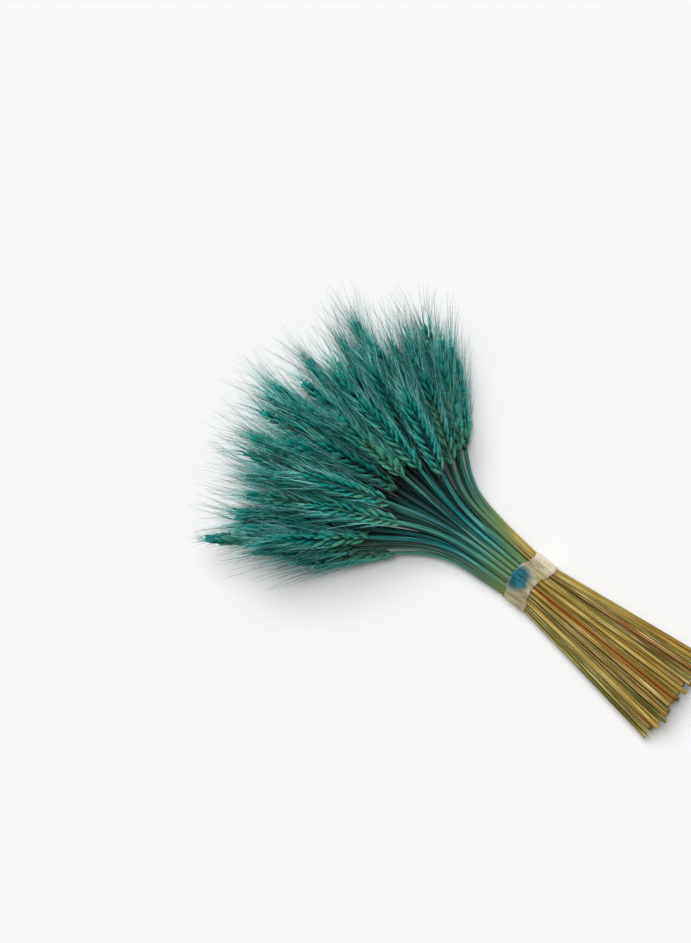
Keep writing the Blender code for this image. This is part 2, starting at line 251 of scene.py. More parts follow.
class Graph:
    """A node tree, written by adding one node at a time."""

    def __init__(self, tree):
        self.tree = tree

    def add(self, kind, settings=None, inputs=None, output=0):
        """Adds a node: its settings first, then values or links for its sockets, by name or place."""
        node = self.tree.nodes.new(kind)
        for name, value in (settings or {}).items():
            setattr(node, name, value)
        for key, value in (inputs or {}).items():
            usable = [s for s in node.inputs if s.enabled]
            socket = usable[key] if isinstance(key, int) else next(s for s in usable if s.name == key)
            self.fill(socket, value)
        shown = [s for s in node.outputs if s.enabled]
        if not shown:
            return None
        return Socket(self, shown[output] if isinstance(output, int) else node.outputs[output])

    def fill(self, socket, value):
        """Links a value to a socket, or each value of a list, or sets a plain value on it."""
        if isinstance(value, list):
            for each in value:
                self.tree.links.new(each.socket, socket)
        elif isinstance(value, Socket):
            self.tree.links.new(value.socket, socket)
        else:
            socket.default_value = value

    def attribute(self, name):
        """A number that the mesh stores under this name."""
        return self.add("ShaderNodeAttribute", {"attribute_name": name}, output="Fac")

    def noise(self, place, scale, detail=2.0):
        """Soft noise about 0.5, with so many specks a metre."""
        settings = {"noise_dimensions": "3D"}
        return self.add("ShaderNodeTexNoise", settings, {"Vector": place, "Scale": scale, "Detail": detail})

    def mixed(self, share, first, second):
        """A colour between two colours."""
        settings = {"data_type": "RGBA", "clamp_factor": True}
        return self.add("ShaderNodeMix", settings, {"Factor": share, "A": first, "B": second})


# Where each stalk stands


def bent(x, start, end):
    """How far a line has turned away at x, for a slope that rises smoothly from 0 to 1 over the bend."""
    t = np.clip((x - start) / (end - start), 0, None)
    within = np.minimum(t, 1)
    return (end - start) * (within**3 - within**4 / 2 + np.maximum(t - 1, 0))


def tie_places():
    """(y, z) of each stalk's axis inside the tape, the lowest row first."""
    return [
        ((k - (count - 1) / 2) * STALK_PITCH, TIE_LOWEST + row * ROW_RISE)
        for row, count in enumerate(ROW_COUNTS)
        for k in range(count)
    ]


def spread(place, x):
    """(y, z) at x of the stalk that the tie holds at place, before stalks move apart."""
    y, z = place
    free = np.maximum(np.abs(x) - TAPE_HELD, 0)
    edge = (1 + y / TIE_SIDE) / 2
    start, end = ((1 - edge) * right + edge * left for right, left in (BEND_FROM, BEND_TO))
    opened = np.where(x > 0, bent(x, start, end), 0)
    flare = np.where(x > 0, FLARE[0], BUTT_FLARE[0]), np.where(x > 0, FLARE[1], BUTT_FLARE[1])
    wide = TIE_SIDE + flare[0] * free + BEND_SLOPE[0] * opened
    tall = TIE_TALL + flare[1] * free + BEND_SLOPE[1] * opened
    base = np.where(
        x > 0,
        TIE_LOWEST + (LOWEST_EAR_AXIS - TIE_LOWEST) * np.clip(free / EAR_FROM, 0, 1),
        TIE_LOWEST + (LOWEST_BUTT_AXIS - TIE_LOWEST) * np.clip(free / BUTT_REACH[0], 0, 1),
    )
    return np.stack([y / TIE_SIDE * wide, base + (z - TIE_LOWEST) / TIE_TALL * tall], axis=-1)


def along(points):
    """The distance of each point from the first, along the line through them."""
    return np.concatenate([[0], np.cumsum(np.linalg.norm(np.diff(points, axis=0), axis=1))])


def eased(t):
    """0 to 1 with no kink at either end."""
    t = np.clip(t, 0, 1)
    return t * t * (3 - 2 * t)


def straw_radius(share):
    """The radius of a straw this share of the way from the tie to its ear."""
    return STRAW_RADIUS + (NECK_RADIUS - STRAW_RADIUS) * np.clip(share, 0, 1) ** 2


def room_needed(x, path, ear_from, ear_length):
    """The radius that a stalk takes up in the plane at each x: straw, then ear, then the foot of its awns."""
    arc = along(np.column_stack([x, path]))
    slope = np.linalg.norm(np.gradient(path, x, axis=0), axis=1)
    straw = straw_radius(arc / ear_from)
    swell = eased((arc - ear_from) / ROOM_EASES + ROOM_AHEAD)
    shrink = eased((arc - ear_from - ear_length) / AWN_PAST_TIP)
    return (straw + (EAR_RADIUS - straw) * swell) * (1 - shrink) * np.sqrt(1 + slope**2 / 2)


def settled(x, wished, rooms):
    """Paths close to the wished ones that keep clear of each other and of the surface."""
    free = np.clip((x - TAPE_HELD) / SETTLE_OVER, 0, 1)[None, :, None]
    spare = SETTLE_SPARE * free[0, :, 0]
    shift = np.zeros_like(wished)
    need = rooms[:, None, :] + rooms[None, :, :] + spare
    felt = np.clip(rooms / STRAW_RADIUS, 0, 1)
    need *= felt[:, None, :] * felt[None, :, :]
    need[np.arange(len(rooms)), np.arange(len(rooms))] = 0
    for _ in range(SETTLE_ROUNDS):
        paths = wished + shift
        apart = paths[:, None] - paths[None, :]
        distance = np.maximum(np.linalg.norm(apart, axis=-1), 1e-6)
        short = np.maximum(need - distance, 0) / distance
        shift += SETTLE_PUSH * (apart * short[..., None]).sum(axis=1)
        shift[..., 1] += np.maximum(rooms - (wished + shift)[..., 1], 0)
        shift[:, 1:-1] = (shift[:, :-2] + 2 * shift[:, 1:-1] + shift[:, 2:]) / 4
        shift[:, -1] = 2 * shift[:, -2] - shift[:, -3]
        shift *= free * SETTLE_FADE
    return wished + shift


class Stalk:
    """The line of one stalk from its cut end to its tip, and where its ear stands on that line."""

    def __init__(self, number, place, path, ear_from, pitch, roll, butt):
        foot = [np.array([x, *spread(place, np.float64(x))]) for x in (-butt, -TAPE_HELD)]
        whole = np.vstack([foot, path])
        arcs = along(whole)
        self.tie_arc = np.interp(0, whole[:, 0], arcs)
        self.name = f"stalk_{number:02d}"
        self.roll = roll
        self.awned = LONGEST_AWNED if number == LONGEST_STALK else 1
        # How deep in the bunch the stalk lies, most for low stalks in the middle: the finishes paint shade by
        # it
        self.depth = (1 - (place[1] - TIE_LOWEST) / TIE_TALL) * (1 - abs(place[0]) / TIE_SIDE)
        self.ear_from = self.tie_arc + ear_from
        self.ear_to = self.ear_from + SPIKELETS_A_SIDE * pitch
        tip = self.ear_to + SPIKELET_LENGTH
        self.points = whole[arcs < tip]
        self.arcs = arcs[arcs < tip]


def plant(draw):
    """Every stalk, with its path settled among the others."""
    x = np.arange(STATIONS) * STATION
    places = tie_places()
    froms, pitches, wished, rooms = [], [], [], []
    for y, z in places:
        top, edge = (z - TIE_LOWEST) / TIE_TALL, y / TIE_SIDE
        shorter = EAR_FROM_TOP * top + EAR_FROM_SPREAD * draw.uniform(-1, 1)
        if edge < 0:
            shorter += EAR_FROM_RIGHT * (-edge) ** RIGHT_POWER
        else:
            shorter += EAR_FROM_LEFT * edge**LEFT_POWER
        froms.append(LONGEST_EAR_FROM if len(froms) + 1 == LONGEST_STALK else EAR_FROM - shorter)
        pitches.append(draw.uniform(*SPIKELET_PITCH))
        heading = draw.uniform(0, 2 * math.pi)
        grown = eased((x - WANDER_FROM) / (x[-1] - WANDER_FROM))
        wander = WANDER * math.sqrt(draw.uniform())
        parted = PARTING[1 if y > 0 else 0] * top**3
        offset = grown[:, None] * (parted + wander * math.cos(heading), wander * math.sin(heading))
        wished.append(spread((y, z), x) + offset)
        ear_length = SPIKELETS_A_SIDE * pitches[-1] + SPIKELET_LENGTH
        rooms.append(room_needed(x, wished[-1], froms[-1], ear_length))
    paths = settled(x, np.array(wished), np.array(rooms))
    return [
        Stalk(
            number + 1,
            place,
            np.column_stack([x, paths[number]]),
            froms[number],
            pitches[number],
            draw.uniform(0, math.pi),
            draw.uniform(*BUTT_REACH),
        )
        for number, place in enumerate(places)
    ]


# The shapes that an ear repeats


def add_husk(bm, layers, foot, length, width, thickness, turn, shade):
    """A boat-shaped husk with a ribbed back: foot is its base, and turn its lean as a rotation matrix."""
    along_layer, shade_layer = layers
    rings = []
    for share, swell in HUSK_RINGS:
        ring = []
        for k in range(HUSK_SIDES):
            angle = 2 * math.pi * k / HUSK_SIDES
            rib = 1.0 if k % 2 == 0 else HUSK_GROOVE
            back = thickness * swell * rib * math.cos(angle) * (1.0 if math.cos(angle) > 0 else HUSK_FLATTER)
            place = Vector((back, width * swell * rib * math.sin(angle), length * share))
            vert = bm.verts.new(foot + turn @ place)
            vert[along_layer], vert[shade_layer] = share, shade
            ring.append(vert)
        rings.append(ring)
    tip = bm.verts.new(foot + turn @ Vector((0, 0, length)))
    tip[along_layer], tip[shade_layer] = 1.0, shade
    for lower, upper in zip(rings, rings[1:]):
        for k in range(HUSK_SIDES):
            after = (k + 1) % HUSK_SIDES
            bm.faces.new((lower[k], lower[after], upper[after], upper[k]))
    for k in range(HUSK_SIDES):
        bm.faces.new((rings[-1][k], rings[-1][(k + 1) % HUSK_SIDES], tip))
    bm.faces.new(list(reversed(rings[0])))


def leaning(outward, sideways):
    """The rotation that leans +Z towards +X by one angle, and then towards +Y by another."""
    return Matrix.Rotation(outward, 3, "Y") @ Matrix.Rotation(-sideways, 3, "X")


def smooth_mesh(name, bm):
    """A mesh of smooth faces from a finished set of faces."""
    for face in bm.faces:
        face.smooth = True
    mesh = bpy.data.meshes.new(name)
    bm.to_mesh(mesh)
    bm.free()
    return mesh


def shape_object(name, bm, collection):
    """Puts a finished shape into the collection that a tree picks from."""
    collection.objects.link(bpy.data.objects.new(name, smooth_mesh(name, bm)))


def spikelet_shapes(draw):
    """The collection of spikelets that ears are set with: +Z up the ear, +X outwards, base at the origin."""
    collection = bpy.data.collections.new("spikelet shapes")
    for kind in range(SPIKELET_KINDS):
        bm = bmesh.new()
        layers = [bm.verts.layers.float.new(name) for name in ("along", "husk_shade")]
        for foot, length, width, thickness, outward, sideways in HUSKS:
            outward += draw.uniform(-HUSK_LEANS_OUT, HUSK_LEANS_OUT)
            sideways += draw.uniform(-HUSK_LEANS_ASIDE, HUSK_LEANS_ASIDE)
            turn = leaning(math.radians(outward), math.radians(sideways))
            grown = draw.uniform(*HUSK_GROWN)
            add_husk(
                bm,
                layers,
                Vector(foot) / MM_A_METRE,
                length * grown / MM_A_METRE,
                width / MM_A_METRE,
                thickness / MM_A_METRE,
                turn,
                draw.uniform(),
            )
        shape_object(f"spikelet_{kind}", bm, collection)
    return collection


def awn_shapes():
    """The collection of awns, each 1 long up +Z, three-sided and tapering, and bowed towards +X."""
    collection = bpy.data.collections.new("awn shapes")
    for kind, (bow, wave) in enumerate(AWN_BENDS):
        bm = bmesh.new()
        layer = bm.verts.layers.float.new("along")
        rings = []
        for step in range(AWN_SEGMENTS + 1):
            share = step / AWN_SEGMENTS
            radius = AWN_ROOT_SHARE + (AWN_TIP_SHARE - AWN_ROOT_SHARE) * share
            middle = Vector((bow * share * share, wave * math.sin(AWN_WAVES * share), share))
            ring = []
            for side in range(AWN_SIDES):
                angle = 2 * math.pi * side / AWN_SIDES
                vert = bm.verts.new(middle + radius * Vector((math.cos(angle), math.sin(angle), 0)))
                vert[layer] = share
                ring.append(vert)
            rings.append(ring)
        for lower, upper in zip(rings, rings[1:]):
            for side in range(AWN_SIDES):
                after = (side + 1) % AWN_SIDES
                bm.faces.new((lower[side], lower[after], upper[after], upper[side]))
        bm.faces.new(list(reversed(rings[0])))
        bm.faces.new(rings[-1])
        shape_object(f"awn_{kind}", bm, collection)
    return collection


# The tree that grows a stalk on its axis


def random_value(g, low, high, key, seed):
    """A random number, or vector, between low and high, which is the same each time for a key and a seed."""
    vector = isinstance(low, tuple)
    kind = {"data_type": "FLOAT_VECTOR" if vector else "FLOAT"}
    return g.add("FunctionNodeRandomValue", kind, {"Min": low, "Max": high, "ID": key, "Seed": seed})


def ear_frame(g, axis, arc, roll, side):
    """A place on the ear's axis, and its directions: out to the row on that side, and on up the ear."""
    settings = {"mode": "LENGTH"}
    place = g.add("GeometryNodeSampleCurve", settings, {"Curves": axis, "Length": arc}, "Position")
    forward = place.other("Tangent")
    level = forward.vector("CROSS_PRODUCT", (0, 0, 1)).vector("NORMALIZE")
    upright = level.vector("CROSS_PRODUCT", forward)
    outward = (level * roll.math("COSINE") + upright * roll.math("SINE")) * side
    return place, outward, forward


def facing(g, forward, outward):
    """The rotation that takes +Z to forward and +X as near as it can to outward."""
    axes = {"primary_axis": "Z", "secondary_axis": "X"}
    return g.add("FunctionNodeAxesToRotation", axes, {"Primary Axis": forward, "Secondary Axis": outward})


def turned(g, rotation, euler):
    """A rotation, turned on by angles about its own axes."""
    by = g.add("FunctionNodeEulerToRotation", None, {"Euler": euler})
    local = {"rotation_space": "LOCAL"}
    return g.add("FunctionNodeRotateRotation", local, {"Rotation": rotation, "Rotate By": by})


def scattered(g, points, shapes, kinds, seed, rotation, scale, marks, material):
    """Shapes set on points, each kind picked at random, made real and given their material."""
    index = g.add("GeometryNodeInputIndex")
    kind = random_value(g, 0.0, kinds - 0.001, index, seed).math("FLOOR")
    picked = g.add("GeometryNodeCollectionInfo", None, {"Collection": shapes, "Separate Children": True})
    made = g.add(
        "GeometryNodeInstanceOnPoints",
        None,
        {
            "Points": points,
            "Instance": picked,
            "Pick Instance": True,
            "Instance Index": kind,
            "Rotation": rotation,
            "Scale": scale,
        },
    )
    for name, value in marks.items():
        made = marked(g, made, name, value, "INSTANCE")
    real = g.add("GeometryNodeRealizeInstances", None, {"Geometry": made})
    return g.add("GeometryNodeSetMaterial", None, {"Geometry": real, "Material": material})


def marked(g, shape, name, value, domain="POINT"):
    """Stores a value on a shape, under a name that its material reads."""
    settings = {"data_type": "FLOAT", "domain": domain}
    kept = {"Geometry": shape, "Name": name, "Value": value}
    return g.add("GeometryNodeStoreNamedAttribute", settings, kept)


STALK_INPUTS = (
    ("Axis", "NodeSocketGeometry"),
    ("Ear From", "NodeSocketFloat"),
    ("Ear To", "NodeSocketFloat"),
    ("Roll", "NodeSocketFloat"),
    ("Stalk Shade", "NodeSocketFloat"),
    ("Depth", "NodeSocketFloat"),
    ("Seed", "NodeSocketInt"),
    ("Spikelets", "NodeSocketInt"),
    ("Awns a Spikelet", "NodeSocketInt"),
    ("Lower Awn", "NodeSocketFloat"),
    ("Upper Awn", "NodeSocketFloat"),
    ("Straw Sides", "NodeSocketInt"),
    ("Spikelet Shapes", "NodeSocketCollection"),
    ("Awn Shapes", "NodeSocketCollection"),
    ("Straw", "NodeSocketMaterial"),
    ("Husk", "NodeSocketMaterial"),
    ("Awn", "NodeSocketMaterial"),
)


def stalk_tree():
    """The tree that makes a whole stalk from its axis: straw, two rows of spikelets, and their awns."""
    tree = bpy.data.node_groups.new("Wheat stalk", "GeometryNodeTree")
    for name, kind in STALK_INPUTS:
        tree.interface.new_socket(name, in_out="INPUT", socket_type=kind)
    tree.interface.new_socket("Stalk", in_out="OUTPUT", socket_type="NodeSocketGeometry")
    g = Graph(tree)
    given = g.add("NodeGroupInput")
    axis, roll, seed = (given.other(name) for name in ("Axis", "Roll", "Seed"))
    ear_from, ear_to, count = (given.other(name) for name in ("Ear From", "Ear To", "Spikelets"))
    of_stalk = {"stalk_shade": given.other("Stalk Shade"), "depth": given.other("Depth")}

    straw = grown_straw(g, axis, given)
    index = g.add("GeometryNodeInputIndex")
    step = (ear_to - ear_from) / count

    def spikelet(k):
        """Place, rotation and size of spikelet k of the ear."""
        side = 1 - 2 * k.math("MODULO", 2.0)
        place, outward, forward = ear_frame(g, axis, ear_from + (k + FIRST_SPIKELET) * step, roll, side)
        twist = random_value(g, tuple(-angle for angle in SPIKELET_TWIST), SPIKELET_TWIST, k, seed + 1)
        closed = TIP_CLOSES * ((k + 1) / count).math("POWER", CLOSES_LATE)
        closing = g.add("ShaderNodeCombineXYZ", None, {"Y": closed})
        rotation = turned(g, facing(g, forward, outward), twist + closing)
        share = (k + 1) / (count + 1)
        grown = END_SIZE + MIDDLE_GROWTH * (share.math("POWER", FULLEST) * math.pi).math("SINE")
        size = grown * random_value(g, *SIZE_VARIES, k, seed + 2)
        return place + outward * (NECK_RADIUS * 0.5), outward, forward, rotation, size

    place, _, _, rotation, size = spikelet(index)
    points = g.add("GeometryNodePoints", None, {"Count": count, "Position": place})
    marks = {"shade": random_value(g, 0.0, 1.0, index, seed + 3), "up_ear": index / count, **of_stalk}
    shapes, husk = given.other("Spikelet Shapes"), given.other("Husk")
    husks = scattered(g, points, shapes, SPIKELET_KINDS, seed + 4, rotation, size, marks, husk)

    each = given.other("Awns a Spikelet")
    k = (index / each).math("FLOOR")
    which = index - k * each
    place, outward, forward, rotation, size = spikelet(k)
    fan = 1 - 2 * which / (each - 1)
    foot = {"X": AWN_FOOT_OUT, "Y": fan * AWN_FOOT_ASIDE, "Z": AWN_FOOT_UP}
    root = g.add("ShaderNodeCombineXYZ", None, foot) * size
    root = g.add("FunctionNodeRotateVector", None, {"Vector": root, "Rotation": rotation})
    face = forward.vector("CROSS_PRODUCT", outward)
    out = random_value(g, *AWN_OUTWARD, index, seed + 5)
    aside = fan * random_value(g, *AWN_FANS, index, seed + 6)
    aside = aside + random_value(g, -AWN_STRAYS, AWN_STRAYS, index, seed + 7)
    heading = forward + outward * out + face * aside
    spin = g.add("ShaderNodeCombineXYZ", None, {"Z": random_value(g, -AWN_SPIN, AWN_SPIN, index, seed + 8)})
    rotation = turned(g, facing(g, heading, outward), spin)
    lower, upper = given.other("Lower Awn"), given.other("Upper Awn")
    length = lower + (upper - lower) * (k / count).eased(*SHORTER_FROM)
    gain = random_value(g, 0.0, 1.0, index, seed + 10).math("POWER", FEW_GAIN)
    length = length * (SHORTEST_AWN + AWN_GAINS * gain)
    stout = (length + AWN_STOUTNESS) * 0.5
    size = g.add("ShaderNodeCombineXYZ", None, {"X": stout, "Y": stout, "Z": length})
    points = g.add("GeometryNodePoints", None, {"Count": count * each, "Position": place + root})
    marks = {"shade": random_value(g, 0.0, 1.0, index, seed + 11), "up_ear": k / count, **of_stalk}
    shapes, awn = given.other("Awn Shapes"), given.other("Awn")
    awns = scattered(g, points, shapes, len(AWN_BENDS), seed + 12, rotation, size, marks, awn)

    whole = g.add("GeometryNodeJoinGeometry", None, {"Geometry": [straw, husks, awns]})
    at = g.add("GeometryNodeInputPosition")
    x = g.add("ShaderNodeSeparateXYZ", None, {"Vector": at})
    height = x.other("Z").math("MAXIMUM", FLOOR_CLEARANCE)
    above = g.add("ShaderNodeCombineXYZ", None, {"X": x, "Y": x.other("Y"), "Z": height})
    whole = g.add("GeometryNodeSetPosition", None, {"Geometry": whole, "Position": above})
    g.add("NodeGroupOutput", None, {"Stalk": whole})
    return tree


def grown_straw(g, axis, given):
    """The straw: a round profile drawn along the axis, with its arc and its turn kept for the material."""
    measured = g.add("GeometryNodeSplineParameter")
    line = marked(g, axis, "arc", measured.other("Length"))
    profile = {"Resolution": given.other("Straw Sides"), "Radius": 1.0}
    ring = g.add("GeometryNodeCurvePrimitiveCircle", None, profile)
    ring = marked(g, ring, "turn", measured.other("Factor"))
    radius = g.add("GeometryNodeInputNamedAttribute", {"data_type": "FLOAT"}, {"Name": "radius"})
    straw = g.add(
        "GeometryNodeCurveToMesh",
        None,
        {"Curve": line, "Profile Curve": ring, "Scale": radius, "Fill Caps": True},
    )
    straw = marked(g, straw, "stalk_shade", given.other("Stalk Shade"))
    straw = marked(g, straw, "depth", given.other("Depth"))
    return g.add("GeometryNodeSetMaterial", None, {"Geometry": straw, "Material": given.other("Straw")})


def straw_line(stalk):
    """The axis of a stalk as a curve, with the straw's radius at each point."""
    curve = bpy.data.curves.new(stalk.name, "CURVE")
    curve.dimensions = "3D"
    spline = curve.splines.new("POLY")
    kept = stalk.arcs <= stalk.ear_to
    spline.points.add(int(kept.sum()))
    points = np.vstack([stalk.points[kept], at_arc(stalk, stalk.ear_to)])
    arcs = np.append(stalk.arcs[kept], stalk.ear_to)
    for point, (x, y, z), arc in zip(spline.points, points, arcs):
        point.co = (x, y, z, 1)
        point.radius = stem_radius(stalk, arc)
    return curve


def at_arc(stalk, arc):
    """The point this far along a stalk from its cut end."""
    return [np.interp(arc, stalk.arcs, stalk.points[:, axis]) for axis in range(3)]


def stem_radius(stalk, arc):
    """The straw's radius, which goes on getting less inside the ear."""
    if arc < stalk.ear_from:
        return straw_radius((arc - stalk.tie_arc) / (stalk.ear_from - stalk.tie_arc))
    share = (arc - stalk.ear_from) / (stalk.ear_to - stalk.ear_from)
    return NECK_RADIUS * (1 - THINNER_IN_EAR * share)


def hollowed(mesh):
    """Opens the cut end of a straw into its bore."""
    bm = bmesh.new()
    bm.from_mesh(mesh)
    bm.faces.ensure_lookup_table()
    ends = [face for face in bm.faces if len(face.verts) == STRAW_SIDES]
    cut = min(ends, key=lambda face: face.calc_center_median().x)
    bmesh.ops.inset_individual(bm, faces=[cut], thickness=STRAW_WALL)
    inward = -cut.normal * HOLLOW_DEPTH
    bored = bmesh.ops.extrude_discrete_faces(bm, faces=[cut])["faces"][0]
    bmesh.ops.translate(bm, vec=inward, verts=bored.verts)
    bm.to_mesh(mesh)
    bm.free()


def build_stalk(stalk, tree, shapes, finishes, draw):
    """Grows one stalk with the tree, and puts it in the place of its solid."""
    line = bpy.data.objects.new("axis", straw_line(stalk))
    bpy.context.scene.collection.objects.link(line)
    modifier = line.modifiers.new("stalk", "NODES")
    modifier.node_group = tree
    values = {
        "Ear From": stalk.ear_from,
        "Ear To": stalk.ear_to,
        "Roll": stalk.roll,
        "Stalk Shade": draw.uniform(),
        "Depth": stalk.depth,
        "Seed": int(draw.randint(1, SEEDS)) * SEEDS_APART,
        "Spikelets": SPIKELETS,
        "Awns a Spikelet": AWNS_A_SPIKELET,
        "Lower Awn": AWN_LENGTHS[0] * stalk.awned,
        "Upper Awn": AWN_LENGTHS[1] * stalk.awned,
        "Straw Sides": STRAW_SIDES,
        **shapes,
        **finishes,
    }
    for item in tree.interface.items_tree:
        if item.in_out == "INPUT" and item.name in values:
            modifier[item.identifier] = values[item.name]
    graph = bpy.context.evaluated_depsgraph_get()
    grown = line.evaluated_get(graph)
    mesh = bpy.data.meshes.new_from_object(grown, preserve_all_data_layers=True, depsgraph=graph)
    bpy.data.objects.remove(line)
    hollowed(mesh)
    piece = bpy.data.objects.new(f"dressed_{stalk.name}", mesh)
    bpy.context.scene.collection.objects.link(piece)
    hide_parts(stalk.name)
    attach(piece, "root")


# The tape


def tape_round():
    """(y, z) points and outward directions round the straws in the tie, as the tape lies on them."""
    places = np.array(tie_places())
    turns = [2 * math.pi * k / TAPE_CORNERS for k in range(TAPE_CORNERS)]
    reach = STRAW_RADIUS + GAP + TAPE_WALL / 2
    corners = [Vector((y + reach * math.cos(t), z + reach * math.sin(t))) for y, z in places for t in turns]
    hull = np.array([corners[k] for k in geometry.convex_hull_2d(corners)])
    closed = np.vstack([hull, hull[:1]])
    arcs = along(closed)
    at = np.linspace(0, arcs[-1], TAPE_STEPS, endpoint=False)
    points = np.column_stack([np.interp(at, arcs, closed[:, axis]) for axis in range(2)])
    ahead = np.roll(points, -1, axis=0) - np.roll(points, 1, axis=0)
    ahead /= np.linalg.norm(ahead, axis=1)[:, None]
    outward = np.column_stack([ahead[:, 1], -ahead[:, 0]])
    if ((points - points.mean(axis=0)) * outward).sum() < 0:
        outward = -outward
    nearest = np.linalg.norm(points[:, None] - places[None], axis=2).min(axis=1)
    sink = np.minimum(nearest - reach, TAPE_SINK)
    return points - outward * sink[:, None], outward


def build_tape(finish, draw):
    """The band: a strip wound a little over once round the straws, so that its end laps over its start."""
    points, outward = tape_round()
    steps = int(TAPE_STEPS * TAPE_TURNS)
    ripples = draw.uniform(0, 2 * math.pi, 6)
    bm = bmesh.new()
    across_layer = bm.verts.layers.float.new("across")
    rows = []
    for step in range(steps + 1):
        k = (TAPE_STARTS + step) % TAPE_STEPS
        turn = step / TAPE_STEPS
        around = 2 * math.pi * turn
        askew = TAPE_ASKEW * math.exp(-(abs(points[k, 0] - TAPE_ASKEW_AT) / TAPE_ASKEW_REACH) ** 3)
        askew *= eased(points[k, 1] / TAPE_ASKEW_REACH - 0.5)
        row = []
        for column in range(TAPE_COLUMNS + 1):
            across = column / TAPE_COLUMNS - 0.5
            wave = math.sin(WAVES * around + ripples[0] + 3 * across)
            wave += FINER_SHARE * math.sin(FINER_WAVES * around + ripples[1] - 5 * across)
            ragged = math.sin(EDGE_WAVES * around + ripples[2 + (across > 0)]) * (2 * across) ** 4
            x = across * TAPE_WIDTH + TAPE_RAGGED * ragged + askew
            lift = TAPE_THICK * turn + TAPE_RIPPLE * wave + FLARE[0] * max(x - TAPE_HELD, 0)
            y, z = points[k] + outward[k] * lift
            vert = bm.verts.new((x, y, z))
            vert[across_layer] = across
            row.append(vert)
        rows.append(row)
    for row, after in zip(rows, rows[1:]):
        for column in range(TAPE_COLUMNS):
            bm.faces.new((row[column], row[column + 1], after[column + 1], after[column]))
    bmesh.ops.recalc_face_normals(bm, faces=bm.faces)
    mesh = smooth_mesh("dressed_tape", bm)
    mesh.materials.append(finish)
    piece = bpy.data.objects.new("dressed_tape", mesh)
    bpy.context.scene.collection.objects.link(piece)
    thick = piece.modifiers.new("thickness", "SOLIDIFY")
    thick.thickness = TAPE_THICK
    thick.offset = 0
    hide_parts("tape_tie")
    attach(piece, "root")


# The finishes, their colours first

GOLD, OLIVE, DARK_OLIVE = linear(182, 154, 64), linear(136, 128, 50), linear(100, 100, 32)
RUST, AMBER = linear(156, 92, 14), linear(164, 98, 16)
CREAM_STREAK, BROWN_STREAK = linear(228, 214, 150), linear(62, 44, 6)
GREENISH = linear(110, 136, 84)
TEAL_STRAW, GREEN_STRAW, GREY_STRAW = linear(18, 132, 130), linear(74, 148, 122), linear(92, 98, 94)
INK_STRAW, MINT_STREAK, DARK_STREAK = linear(6, 62, 78), linear(128, 200, 182), linear(6, 48, 52)
# The painted shade on straws deep in the bunch, and the darker painted shade in the hollows between them
SHADED_STRAW, HOLLOW_SHADE = linear(0, 20, 26), linear(0, 12, 14)
DULL_HUSK, BRIGHT_HUSK = linear(0, 128, 122), linear(8, 190, 174)
# The painted highlight at a husk's tip, and the painted shade at its foot
HUSK_TIP_HIGHLIGHT, HUSK_FOOT_SHADE = linear(72, 216, 202), linear(0, 26, 30)
UPPER_HUSK, OLIVE_HUSK = linear(0, 110, 102), linear(108, 152, 112)
# Mottle on the husks, and the painted shade on husks deep in the bunch
HUSK_MOTTLE, SHADED_HUSK = linear(4, 60, 62), linear(0, 20, 24)
# Awns at random from dark to very pale, the palest a painted highlight
DARK_AWN, TEAL_AWN, PALE_AWN_HIGHLIGHT = linear(0, 62, 60), linear(10, 190, 174), linear(160, 255, 248)
# A blue cast, the painted shade on awns deep in the bunch, and the dry tip
BLUE_AWN, SHADED_AWN, DRY_TIP = linear(0, 104, 116), linear(0, 40, 44), linear(26, 32, 38)
DULL_CREAM, CREAM, CREAM_THREAD = linear(206, 190, 146), linear(232, 222, 186), linear(240, 232, 206)
# The painted highlight on the tape's -Y side
TAPE_HIGHLIGHT = linear(250, 240, 212)
DARK_DYE, DYE = linear(0, 78, 88), linear(10, 118, 128)

# The noise on the straws: how fast it changes round a straw, along it, and from one straw to the next,
# and its scale for fine streaks and for wide bands
ROUND, ALONG, APART = 1.2, 10, 90
FINE_STREAKS, WIDE_BANDS = 2.6, 0.55

# The amber among the bare straws: its middle along Y, and how fast it fades to both sides, a metre
AMBER_AT, AMBER_FADES = 0.0015, 400

# Where the dye on the straws starts: just past the tie, later at the -Y edge, with a ragged line that
# differs from straw to straw, and how far it takes to be full
DYE_FROM, DYE_LATER, DYE_RAGGED, DYE_DIFFERS, DYE_FULL = 0.002, 0.034, 0.020, 0.008, 0.046
RIGHT_EDGE = (0.009, 0.019)

# The patch of dye on the tape: its middle, and its half lengths as it fades out
DYE_AT = (0.0094, 0.0034, 0.019)
DYE_REACH = (0.0112, 0.0116, 0.02)

# The clouds and threads in the tape, and the mottle on the husks, as scales of noise
CLOUDS, THREADS = (90.0, 260.0, 260.0), (220.0, 1400.0, 900.0)
MOTTLE = 420.0

# The depth of low relief, and how glossy straw and the drier husks and awns are
RELIEF = 0.0004
STRAW_GLOSS, DRY_GLOSS = 0.25, 0.12


def new_finish(name):
    """A new material, the tree to write it in, and its shader."""
    finish = bpy.data.materials.new(name)
    finish.use_nodes = True
    shader = finish.node_tree.nodes["Principled BSDF"]
    return finish, Graph(finish.node_tree), shader


def place_of(g):
    """The place on the object, in metres."""
    return g.add("ShaderNodeTexCoord", None, None, "Object")


def shader_link(g, shader, name, value):
    """Feeds a value that varies over the surface to the shader."""
    g.fill(shader.inputs[name], value)


def roughened(g, shader, height, strength):
    """Gives the surface low relief from a noise."""
    bump = g.add("ShaderNodeBump", None, {"Strength": strength, "Distance": RELIEF, "Height": height})
    shader_link(g, shader, "Normal", bump)


def painted_shade_share(g, x):
    """How much painted shade darkens the colour at x: more on stalks deep in the bunch, and not at the ears'
    tips.
    """
    return g.attribute("depth").math("POWER", 0.45) * (1 - x.eased(*UNSHADED_TIPS))


